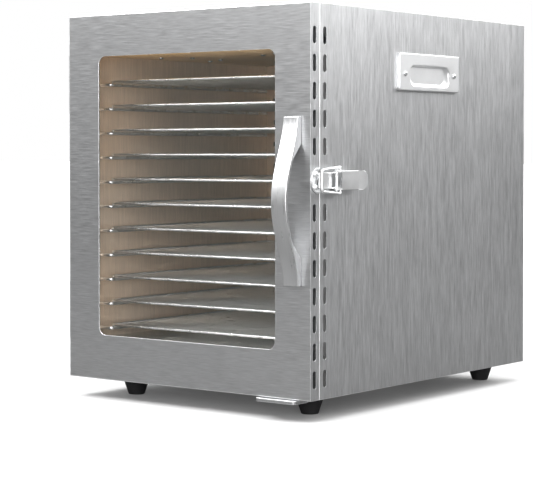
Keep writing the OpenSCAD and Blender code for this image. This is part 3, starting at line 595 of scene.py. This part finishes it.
for side, sign in SIDES:
    (middle_x, half_x), (middle_y, half_y) = span("runners_" + side, 0), span("runners_" + side, 1)
    wall_x, rod_x = middle_x + sign * half_x, middle_x - sign * (half_x - RUNNER_R)
    front_y, rear_y = middle_y - half_y + RUNNER_R, middle_y + half_y - RUNNER_R
    bm = bmesh.new()
    for tray in TRAYS:
        tray_z, tray_half = span(tray, 2)
        z = tray_z - tray_half - UNDER_TRAY - RUNNER_R
        corners = [place(x, y, z) for x, y in ((wall_x, front_y), (rod_x, front_y), (rod_x, rear_y),
                                               (wall_x, rear_y))]
        add_tube(bm, rounded_path(corners, RUNNER_BEND * MM, 6), RUNNER_R * MM, 14)
    add_object("runner_wires_" + side, finish_mesh("runner_wires_" + side, bm), "wire", "cabinet",
               ("runners_" + side,))


def tray_rim_mesh():
    """The bent rim rod of a tray, its centre line in the plane z = 0."""
    low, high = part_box("tray_01")
    reach = Vector((high.x - RIM_R * MM, high.y - RIM_R * MM, 0))
    near = Vector((low.x + RIM_R * MM, low.y + RIM_R * MM, 0))
    corners = [near, Vector((reach.x, near.y, 0)), reach, Vector((near.x, reach.y, 0))]
    bm = bmesh.new()
    add_tube(bm, rounded_path(corners, RIM_BEND * MM, closed=True), RIM_R * MM, 14, closed=True)
    return finish_mesh("tray_rim", bm)


def tray_net_mesh():
    """Two crossed layers of wires under the rim, shorter where the rim's corners are round."""
    low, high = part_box("tray_01")
    bm = bmesh.new()
    corner = RIM_BEND * MM
    for axis, layer in ((0, 3), (1, 1)):
        z = (NET_LOWEST + layer * NET_WIRE_R) * MM
        start, end = low[1 - axis] + RIM_R * MM, high[1 - axis] - RIM_R * MM
        count = int((end - start) / (NET_PITCH * MM))
        for k in range(1, count):
            across = start + (end - start) * k / count
            edge = min(across - start, end - across, corner)
            cut = corner - math.sqrt(corner ** 2 - (corner - edge) ** 2)
            ends = [Vector((across, across, z)), Vector((across, across, z))]
            ends[0][axis] = low[axis] + NET_INSET * MM + cut
            ends[1][axis] = high[axis] - NET_INSET * MM - cut
            add_tube(bm, ends, NET_WIRE_R * MM, 4)
    return finish_mesh("tray_net", bm, math.radians(60))


RIM_MESH = tray_rim_mesh()
NET_MESH = tray_net_mesh()
for tray in TRAYS:
    rim = add_object(tray + "_rim", RIM_MESH, "wire", tray, (tray,))
    net = add_object(tray + "_net", NET_MESH, "mesh", tray)
    for piece in (rim, net):
        piece.location = (0, 0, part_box(tray)[0].z + RIM_R * MM)

# ---------- Handle ----------

# How far the handle's ends stand out, how much further its middle does, and its thickness there
HANDLE_END = 6
HANDLE_RISE = 21.7
HANDLE_T = 3
GAP_HALF = HANDLE_HALF * 0.68
STRIP_HALF = HANDLE_HALF * 0.48


def bow(dz):
    """How far the handle stands out of the door at a height dz from its middle."""
    return HANDLE_END + HANDLE_RISE * ((1 + math.cos(math.pi * dz / HANDLE_HALF)) / 2) ** 0.9


def handle_mesh(steps=40):
    """The bow: one outline swept over its width."""
    outer = [(-bow(dz), dz) for dz in (HANDLE_HALF * k / steps for k in range(-steps, steps + 1))]
    inner = [(HANDLE_T - bow(dz), dz)
             for dz in (STRIP_HALF * k / steps for k in range(steps, -steps - 1, -1))]
    outline = outer + [(0, HANDLE_HALF), (0, GAP_HALF)] + inner + [(0, -GAP_HALF), (0, -HANDLE_HALF)]
    middle_x, half_x = span("door_handle", 0)
    bm = bmesh.new()
    ends = [[bm.verts.new(place(x, y, HANDLE_Z + z)) for y, z in outline]
            for x in (middle_x - half_x, middle_x + half_x)]
    count = len(outline)
    for k in range(count):
        bm.faces.new((ends[0][k], ends[0][(k + 1) % count], ends[1][(k + 1) % count], ends[1][k]))
    for ring in ends:
        bm.faces.new(ring)
    return finish_mesh("bow_handle", bm, SHARP_CURVE)


handle = add_object("bow_handle", handle_mesh(), "handle", "door", ("door_handle",))
# The bow's end faces take the darker side steel: painted shade that dims their reflections
second_look(handle, "side", (-1, 0, 0), (1, 0, 0))
add_bevel(handle, 0.9, 3, angle=math.radians(50))

# ---------- Side pulls ----------

CUP_Z = 349.0
CUP_HALF_L, CUP_HALF_H, CUP_R = 41, 11, 8
CUP_DEPTH = 9.6
CUP_RINGS = 25
CUP_TILT = 0.032
PLATE_R = 0.8
# Pairs of height over the side panel and distance in from the plate's edge
PLATE_RIM = ((0.0, 0), (2.8, 0), (3.3, 0), (3.68, 0.15), (3.9, 0.4), (PULL_T, 0.8), (PULL_T, 1.3))
# Pairs of height over the side panel and distance out from the cup's edge
CUP_LIP = ((PULL_T, 1.9), (PULL_T, 1.3), (3.85, 0.7), (3.5, 0.2), (2.9, 0.0))


def outline_point(angle, half_l, half_h, radius, dz):
    """Where a ray from the cup's centre meets a rectangle with round corners, lifted by dz."""
    dir_y, dir_z = math.cos(angle), math.sin(angle)
    low, high = 0.0, half_l + half_h
    for _ in range(40):
        reach = (low + high) / 2
        out_y = abs(reach * dir_y) - (half_l - radius)
        out_z = abs(reach * dir_z - dz) - (half_h - radius)
        outside = math.hypot(max(out_y, 0), max(out_z, 0)) + min(max(out_y, out_z), 0) - radius
        if outside > 0:
            high = reach
        else:
            low = reach
    return (low + high) / 2 * dir_y, (low + high) / 2 * dir_z


def pull_plate_mesh(name, sign):
    """A plate with rounded rims and a pressed finger cup, as rings of points round the cup's centre."""
    lift = PULL_Z - CUP_Z
    corners = [math.atan2(lift + s * PULL_HALF_H, c * PULL_HALF_L) for s in (-1, 1) for c in (-1, 1)]
    angles = sorted([2 * math.pi * k / 120 - math.pi for k in range(120)] + corners)
    rings = [(x, PULL_HALF_L - inset, PULL_HALF_H - inset, PLATE_R, lift, 0.0) for x, inset in PLATE_RIM]
    rings += [(x, CUP_HALF_L + grown, CUP_HALF_H + grown, CUP_R + grown, 0.0, 0.0) for x, grown in CUP_LIP]
    for k in range(1, CUP_RINGS):
        share = 1 - k / CUP_RINGS
        depth = CUP_DEPTH * (1 - share ** 2) ** 0.9
        rings.append((CUP_LIP[-1][0] - depth, CUP_HALF_L * share ** 0.85, CUP_HALF_H * share, CUP_R * share,
                      0.0, depth * CUP_TILT))
    bm = bmesh.new()
    loops = []
    for x, half_l, half_h, radius, dz, tilt in rings:
        loops.append([
            bm.verts.new(place(sign * (HALF_W + x - tilt * z), PULL_Y + y, CUP_Z + z))
            for y, z in (outline_point(a, half_l, half_h, radius, dz) for a in angles)
        ])
    for one, two in zip(loops, loops[1:]):
        for k in range(len(angles)):
            j = (k + 1) % len(angles)
            bm.faces.new((one[k], one[j], two[j], two[k]))
    bm.faces.new(loops[-1])
    bm.faces.new(loops[0])
    return finish_mesh(name, bm, math.radians(50))


for side, sign in SIDES:
    add_object("pull_" + side, pull_plate_mesh("pull_" + side, sign), "pull", "cabinet",
               ("pull_plate_" + side,))

# ---------- Feet ----------

# (radius, height) pairs under the base
FOOT_R = 17.4
FOOT_PROFILE = [(0, 0), (17.2, 0), (FOOT_R, -0.4), (17.1, -1.4), (9.75, -23.1), (9.4, -23.7), (8.8, -24),
                (4.6, -24), (4.2, -23.6), (4.0, -22), (0, -22)]
SHARP_FOOT = math.radians(60)

foot = finish_mesh("foot", lathe(FOOT_PROFILE, 56), SHARP_FOOT)
feet_x, feet_half_x = span("feet", 0)
feet_y, feet_half_y = span("feet", 1)
feet_bm = bmesh.new()
for x in (-1, 1):
    for y in (-1, 1):
        foot_at = place(feet_x + x * (feet_half_x - FOOT_R), feet_y + y * (feet_half_y - FOOT_R), 0)
        add_copy(feet_bm, foot, Matrix.Translation(foot_at))
add_object("rubber_feet", finish_mesh("rubber_feet", feet_bm, SHARP_FOOT), "rubber", "cabinet",
           ("feet",))

# ---------- Latch and hinges ----------

BAIL_R = 1.4
# Half of the bail as (x, y, height over the latch's middle), from its pin end, and each corner's bend
BAIL_HALF = [(180.2, 47, 8.6), (180.2, 47, 14.2), (183.4, 9.6, 11.4)]
BAIL_BENDS = [0, 1.6, 2.4]


def bail_mesh():
    """The bent wire loop, from one pin end round the front bar to the other."""
    corners = [place(x, y, LATCH_Z + z) for x, y, z in BAIL_HALF]
    corners += [place(x, y, LATCH_Z - z) for x, y, z in reversed(BAIL_HALF)]
    bends = [bend * MM for bend in BAIL_BENDS + BAIL_BENDS[::-1]]
    bm = bmesh.new()
    add_tube(bm, rounded_path(corners, bends, 7), BAIL_R * MM, 16)
    return finish_mesh("bail_wire", bm)


add_object("bail_wire", bail_mesh(), "latch", "latch_bail", ("latch_bail",))
refined("latch_lever", "latch", "latch_lever", 0.42, 3)
refined("latch_base", "latch", "cabinet", DEBURRED)
refined("keeper", "latch", "door", DEBURRED, 3)
refined("latch_pin", "latch", "cabinet", DEBURRED)
refined("hinge_leaves_cabinet", "zinc", "cabinet", 0.35)
refined("hinge_leaves_door", "zinc", "door", 0.35)
refined("hinge_pins", "zinc", "cabinet", 0.5, 3)

# ---------- Screws ----------

PULL_SCREW_Z = 350.7
PULL_SCREW_OFF = 51.7
BACK_SCREW_X = 167
BACK_SCREW_ZS = (30, 120, 210, 300, 390)
BOARD_AT = (-35, 147)
# Offsets of the screws of the board's tray and of the board, seen on the chamber's ceiling
BOARD_SCREWS = ((86, 46), (53.5, 26.5))
HINGE_FACE_X = -177
HINGE_SCREW_ZS = tuple(hinge + offset for hinge in (78, 342) for offset in (-21, 21))
CABINET_LEAF_Y, DOOR_LEAF_Y = 29.5, 6
REST_SCREWS = ((119.5, 36, -4), (143.5, 36, -4))
KEEPER_SCREW_AT = (176.2, 8)
KEEPER_SCREW_OFF = 7
LEFT, RIGHT, DOWN, BACK = (-1, 0, 0), (1, 0, 0), (0, 0, -1), (0, 1, 0)

chamber_top = span("liner_ceiling", 2)[0] - span("liner_ceiling", 2)[1]
pull_spots = [((sign * (HALF_W + PULL_T), PULL_Y + off, PULL_SCREW_Z), (sign, 0, 0))
              for _, sign in SIDES for off in (-PULL_SCREW_OFF, PULL_SCREW_OFF)]
cabinet_spots = [((x, BACK_Y, z), BACK) for x in (-BACK_SCREW_X, BACK_SCREW_X) for z in BACK_SCREW_ZS]
cabinet_spots += [((BOARD_AT[0] + sx * off_x, BOARD_AT[1] + sy * off_y, chamber_top), DOWN)
                  for off_x, off_y in BOARD_SCREWS for sx in (-1, 1) for sy in (-1, 1)]
cabinet_spots += [((HINGE_FACE_X, CABINET_LEAF_Y, z), LEFT) for z in HINGE_SCREW_ZS]
cabinet_spots += [(spot, DOWN) for spot in REST_SCREWS]
keeper_spots = [((*KEEPER_SCREW_AT, LATCH_Z + off), RIGHT) for off in (-KEEPER_SCREW_OFF, KEEPER_SCREW_OFF)]
door_spots = [((HINGE_FACE_X, DOOR_LEAF_Y, z), LEFT) for z in HINGE_SCREW_ZS]
add_screws("cabinet_slotted_screws", SLOTTED, pull_spots, "zinc", "cabinet", "cabinet_screws")
add_screws("cabinet_crossed_screws", CROSSED, cabinet_spots, "zinc", "cabinet", "cabinet_screws")
add_screws("door_slotted_screws", SLOTTED, keeper_spots, "latch", "door", "door_screws")
add_screws("door_crossed_screws", CROSSED, door_spots, "zinc", "door", "door_screws")

# ---------- Fan chamber ----------

refined("fan_rotor", "alloy", "fan", DEBURRED)
refined("motor_shaft", "bright", "fan", 0.4)
refined("fan_motor", "motor", "cabinet", 1.2, 3)
refined("motor_bracket", "bracket", "cabinet", 0.4)
keep("heating_element", "heater")
refined("thermal_cutout", "ceramic", "cabinet", 0.6)
refined("temperature_probe", "bright", "cabinet", 0.6, 3)

# ---------- Controls and inlet ----------

MARK_T = 0.08

refined("board_tray", "bracket", "cabinet", DEBURRED)
refined("controller_board", "board", "cabinet", DEBURRED)
refined("control_panel", "panel", "cabinet", DEBURRED)
refined("display_window", "display", "cabinet", 0.15)
refined("power_inlet", "inlet", "cabinet", 0.5, 3)


def mark_mesh(name, shapes):
    """A thin printed mark: flat polygons, in mm, given a little height."""
    bm = bmesh.new()
    for points in shapes:
        face = bm.faces.new([bm.verts.new((x * MM, y * MM, 0)) for x, y in points])
        grown = bmesh.ops.extrude_face_region(bm, geom=[face])["geom"]
        lifted = [v for v in grown if isinstance(v, bmesh.types.BMVert)]
        bmesh.ops.translate(bm, verts=lifted, vec=(0, 0, MARK_T * MM))
    return finish_mesh(name, bm)


def bar(x, y, half_x, half_y):
    """A rectangle round a point."""
    return [(x + sx * half_x, y + sy * half_y) for sx, sy in ((-1, -1), (1, -1), (1, 1), (-1, 1))]


def ring_sector(inner, outer, start, end, steps=28):
    """A flat ring sector as quads, its angles in degrees."""
    quads = []
    for k in range(steps):
        a, b = (math.radians(start + (end - start) * j / steps) for j in (k, k + 1))
        quads.append([(radius * math.cos(angle), radius * math.sin(angle))
                      for radius, angle in ((inner, a), (outer, a), (outer, b), (inner, b))])
    return quads


MARKS = {
    "start": ring_sector(1.9, 2.5, 125, 415) + [bar(0, 1.8, 0.3, 1.2)],
    "mode": [bar(0, y, 2.2, 0.3) for y in (-1.5, 0, 1.5)],
    "up": [[(-2.4, -1.3), (2.4, -1.3), (0, 2.2)]],
    "down": [[(-2.4, 1.3), (0, -2.2), (2.4, 1.3)]],
}
for name in MARKS:
    refined("button_" + name, "button", "button_" + name, 0.4, 3)
for name, shapes in MARKS.items():
    button = "button_" + name
    low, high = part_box(button)
    mark = add_object("mark_" + name, mark_mesh("mark_" + name, shapes), "mark", button)
    mark.location = ((low.x + high.x) / 2, (low.y + high.y) / 2, high.z)

missing = [name for name, obj in nodes.items() if not obj.data.materials]
assert not missing, missing

# ---------- Studio ----------

WHITE = (1, 1, 1, 1)
# Pairs of height on the dome, from straight down to straight up, and grey level
DOME_LEVELS = ((0.0, 0.10), (0.46, 0.24), (0.52, 0.50), (0.72, 1.0), (1.0, 1.5))
FLOOR_HALF = 30
FLOOR_SEEN_BY_REFLECTIONS = (0.16, 0.16, 0.16, 1)


def camera_ray_mix(tree, seen, other):
    """Shows one shader to the camera and another to everything else."""
    path = tree.nodes.new("ShaderNodeLightPath")
    mix = tree.nodes.new("ShaderNodeMixShader")
    tree.links.new(path.outputs["Is Camera Ray"], mix.inputs[0])
    tree.links.new(other, mix.inputs[1])
    tree.links.new(seen, mix.inputs[2])
    return mix.outputs[0]


def studio_world():
    """White behind the object; a soft dome, brighter above, lights it."""
    world = bpy.data.worlds.new("studio")
    world.use_nodes = True
    tree = world.node_tree
    tree.nodes.clear()
    coord = tree.nodes.new("ShaderNodeTexCoord")
    split = tree.nodes.new("ShaderNodeSeparateXYZ")
    ramp = tree.nodes.new("ShaderNodeValToRGB")
    stops = ramp.color_ramp.elements
    for (at, level), stop in zip((DOME_LEVELS[0], DOME_LEVELS[-1]), (stops[0], stops[1])):
        stop.position = at
        stop.color = (level, level, level, 1)
    for at, level in DOME_LEVELS[1:-1]:
        stops.new(at).color = (level, level, level, 1)
    dome = tree.nodes.new("ShaderNodeBackground")
    white = tree.nodes.new("ShaderNodeBackground")
    white.inputs["Color"].default_value = WHITE
    out = tree.nodes.new("ShaderNodeOutputWorld")
    tree.links.new(coord.outputs["Generated"], split.inputs[0])
    half = math_node(tree, "MULTIPLY", split.outputs["Z"], 0.5)
    tree.links.new(math_node(tree, "ADD", half, 0.5), ramp.inputs[0])
    tree.links.new(ramp.outputs["Color"], dome.inputs["Color"])
    tree.links.new(camera_ray_mix(tree, white.outputs[0], dome.outputs[0]), out.inputs[0])
    scene.world = world


def studio_floor():
    """A pale floor that is shaded under the object and glows white further off."""
    bm = bmesh.new()
    bmesh.ops.create_grid(bm, x_segments=1, y_segments=1, size=FLOOR_HALF)
    floor = bpy.data.objects.new("floor", finish_mesh("floor", bm))
    scene.collection.objects.link(floor)
    mat, tree, shader = new_material("floor_paint")
    speck = remap(tree, object_noise(tree, (60.0, 60.0, 60.0)), 0.60, 0.63)
    tree.links.new(mix_colour(tree, 1.0, WHITE[:3], speck, "MULTIPLY"), shader.inputs["Base Color"])
    shader.inputs["Roughness"].default_value = 0.7
    shader.inputs["Specular IOR Level"].default_value = 0.1
    coord = tree.nodes.new("ShaderNodeTexCoord")
    distance = tree.nodes.new("ShaderNodeVectorMath")
    distance.operation = "LENGTH"
    tree.links.new(coord.outputs["Object"], distance.inputs[0])
    glow = remap(tree, distance.outputs["Value"], 0.06, 0.9, 0.5, 2.2)
    shader.inputs["Emission Color"].default_value = WHITE
    tree.links.new(glow, shader.inputs["Emission Strength"])
    dull = tree.nodes.new("ShaderNodeBsdfDiffuse")
    dull.inputs["Color"].default_value = FLOOR_SEEN_BY_REFLECTIONS
    mixed = camera_ray_mix(tree, shader.outputs[0], dull.outputs[0])
    tree.links.new(mixed, tree.nodes["Material Output"].inputs["Surface"])
    floor.data.materials.append(mat)


def area_light(name, at, aim, size, power, colour=(1, 1, 1), seen=True):
    """A softbox at a point in metres, aimed at another. If seen is false, it shows neither itself nor its
    mirror images."""
    light = bpy.data.lights.new(name, "AREA")
    light.shape = "RECTANGLE"
    light.size, light.size_y = size
    light.energy = power
    light.color = colour
    obj = bpy.data.objects.new(name, light)
    scene.collection.objects.link(obj)
    obj.location = at
    obj.rotation_euler = (Vector(aim) - Vector(at)).to_track_quat("-Z", "Y").to_euler()
    obj.visible_camera = seen
    obj.visible_glossy = seen


def glow_light(name, spot, direction, size, power, colour=(1, 1, 1)):
    """A weak light inside the cabinet at a point in mm, which shows no mirror image."""
    at = place(*spot)
    area_light(name, at, at + Vector(direction), size, power, colour, False)


studio_world()
studio_floor()
area_light("key_top", (0.2, -0.3, 2.4), (0, 0, 0.2), (2.2, 2.2), 60)
area_light("side_box", (0.9, 1.35, 1.05), (0.2, 0.15, 0.42), (2.0, 0.5), 21)
area_light("front_box", (-0.35, -1.0, 1.0), (0, -0.2, 0.38), (0.8, 0.4), 15)
area_light("fill_front", (0.95, -2.1, 0.45), (0, 0, 0.22), (0.7, 0.7), 17)
area_light("edge_strip", (1.85, -1.75, 0.40), (0.17, -0.2, 0.25), (0.35, 0.8), 12)
glow_light("chamber_glow", (0, 22, HEIGHT / 2), BACK, (0.27, 0.31), 0.36, (1.0, 0.84, 0.66))
for side, sign in SIDES:
    glow_light("gap_glow_" + side, (sign * (HALF_W - 2), 46, HEIGHT / 2), (-sign, 0, 0), (0.03, 0.38), 0.006)
glow_light("gap_glow_base", (0, 220, 40), DOWN, (0.30, 0.38), 0.05)
glow_light("gap_glow_top", (0, 220, 380), (0, 0, 1), (0.30, 0.38), 0.05)

CAMERA_AT = (1.2617, -1.68825, 0.2887)
CAMERA_DOWN = 1.31
CAMERA_TURN = 37.80

camera_data = bpy.data.cameras.new("camera")
camera_data.lens = 118.1
camera_data.sensor_width = 36
camera_data.shift_y = -0.103
camera_data.clip_end = 60
camera = bpy.data.objects.new("camera", camera_data)
scene.collection.objects.link(camera)
camera.location = CAMERA_AT
camera.rotation_euler = (math.radians(90 - CAMERA_DOWN), 0, math.radians(CAMERA_TURN))
scene.camera = camera
scene.view_settings.view_transform = "Standard"
